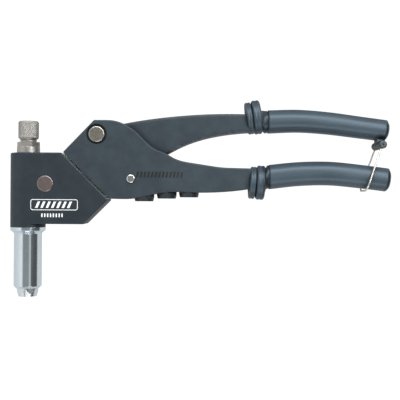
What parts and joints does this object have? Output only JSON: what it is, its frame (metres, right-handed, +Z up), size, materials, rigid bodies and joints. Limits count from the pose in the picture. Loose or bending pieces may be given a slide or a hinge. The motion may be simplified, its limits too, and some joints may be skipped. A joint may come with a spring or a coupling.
{
  "type": "hand riveter",
  "caption": "Swivel-head hand riveter with soft-gripped handles, wire latch, upright zinc-plated nose and spare nosepieces in the body.",
  "frame": {"origin": "centre of the fitted nosepiece's mouth", "axes": "+X from the nose to the handle ends, +Z up along the nose from its mouth to the knob, +Y to the back; the mid plane is Y = 0"},
  "size_m": [0.2698, 0.0264, 0.1403],
  "materials": {
    "cast_enamel": "satin textured powder coat, blue grey",
    "soft_grip": "satin soft vinyl",
    "zinc_plate": "bright blue zinc plate",
    "nickel": "satin nickel plate",
    "plain_steel": "ground steel",
    "polished_steel": "polished",
    "copper_grey_steel": "brushed, warm grey",
    "black_steel": "black oxide",
    "spring_wire": "bright drawn wire",
    "bronze": "sintered bronze"
  },
  "bodies": {
    "body": {"body_casting": "cast_enamel", "stop_pin": "polished_steel", "handle_pivot_pin": "polished_steel", "pivot_pin_ring": "black_steel", "spare_nosepiece_1": "black_steel", "spare_nosepiece_2": "black_steel", "spare_nosepiece_3": "black_steel", "swivel_sleeve": "plain_steel", "swivel_snap_ring": "black_steel", "swivel_washer": "black_steel", "return_spring": "spring_wire", "lower_grip": "soft_grip"},
    "upper_handle": {"upper_handle_lever": "cast_enamel", "pivot_bush": "bronze", "cam_roller_pin": "plain_steel", "upper_grip": "soft_grip", "latch_lug": "black_steel"},
    "roller": {"cam_roller": "plain_steel"},
    "latch": {"latch_wire": "spring_wire"},
    "rod": {"push_rod": "plain_steel"},
    "head": {"head_housing": "cast_enamel", "nose_tube": "zinc_plate", "fitted_nosepiece": "plain_steel", "hex_plug": "nickel", "rocker_pin": "copper_grey_steel", "rocker_pin_ring": "black_steel"},
    "knob": {"mandrel_knob": "nickel"},
    "rocker": {"rocker_lever": "plain_steel", "rocker_bush": "bronze"},
    "case": {"jaw_case": "plain_steel", "jaw_case_coupler": "plain_steel", "jaw_case_nut": "plain_steel", "jaw_spring": "spring_wire"},
    "jaw_a": {"jaw_1": "black_steel"},
    "jaw_b": {"jaw_2": "black_steel"},
    "jaw_c": {"jaw_3": "black_steel"},
    "pusher": {"jaw_pusher": "plain_steel"}
  },
  "joints": [
    {"name": "handle_hinge", "type": "hinge", "parent": "body", "child": "upper_handle", "pos_m": [0.05, 0, 0.1144], "axis": [0, -1, 0], "range_deg": [-3, 35], "deforming": ["latch_wire"]},
    {"name": "roller_spin", "type": "hinge", "parent": "upper_handle", "child": "roller", "pos_m": [0.05778, 0, 0.10036], "axis": [0, 1, 0], "continuous": true},
    {"name": "latch_swing", "type": "hinge", "parent": "upper_handle", "child": "latch", "pos_m": [0.2495, 0, 0.1086], "axis": [0, -1, 0], "range_deg": [0, 140]},
    {"name": "rod_slide", "type": "slide", "parent": "body", "child": "rod", "axis": [0.7071, 0, 0.7071], "range_m": [-0.0009, 0.0098], "deforming": ["return_spring"]},
    {"name": "head_swivel", "type": "hinge", "parent": "body", "child": "head", "pos_m": [0.0429, 0, 0.0846], "axis": [0.7071, 0, 0.7071], "continuous": true},
    {"name": "knob_turn", "type": "hinge", "parent": "head", "child": "knob", "pos_m": [0, 0, 0.115], "axis": [0, 0, 1], "continuous": true},
    {"name": "rocker_hinge", "type": "hinge", "parent": "head", "child": "rocker", "pos_m": [0.0144, 0, 0.0797], "axis": [0, -1, 0], "range_deg": [-3, 34]},
    {"name": "case_slide", "type": "slide", "parent": "head", "child": "case", "axis": [0, 0, 1], "range_m": [-0.0085, 0.0009]},
    {"name": "jaw_a_slide", "type": "slide", "parent": "case", "child": "jaw_a", "axis": [0, 0.1552, 0.9879], "range_m": [-0.0003, 0.0022]},
    {"name": "jaw_b_slide", "type": "slide", "parent": "case", "child": "jaw_b", "axis": [-0.1344, -0.0776, 0.9879], "range_m": [-0.0003, 0.0022]},
    {"name": "jaw_c_slide", "type": "slide", "parent": "case", "child": "jaw_c", "axis": [0.1344, -0.0776, 0.9879], "range_m": [-0.0003, 0.0022]},
    {"name": "pusher_slide", "type": "slide", "parent": "case", "child": "pusher", "axis": [0, 0, 1], "range_m": [-0.0003, 0.0022], "deforming": ["jaw_spring"]}
  ],
  "couplings": [
    {"joint": "rod_slide", "follows": "handle_hinge", "m_per_rad": 0.0158},
    {"joint": "rocker_hinge", "follows": "handle_hinge", "ratio": 0.9594},
    {"joint": "case_slide", "follows": "handle_hinge", "m_per_rad": -0.013615},
    {"joint": "jaw_a_slide", "follows": "handle_hinge", "m_per_rad": 0.003274},
    {"joint": "jaw_b_slide", "follows": "handle_hinge", "m_per_rad": 0.003274},
    {"joint": "jaw_c_slide", "follows": "handle_hinge", "m_per_rad": 0.003274},
    {"joint": "pusher_slide", "follows": "handle_hinge", "m_per_rad": 0.003234}
  ]
}
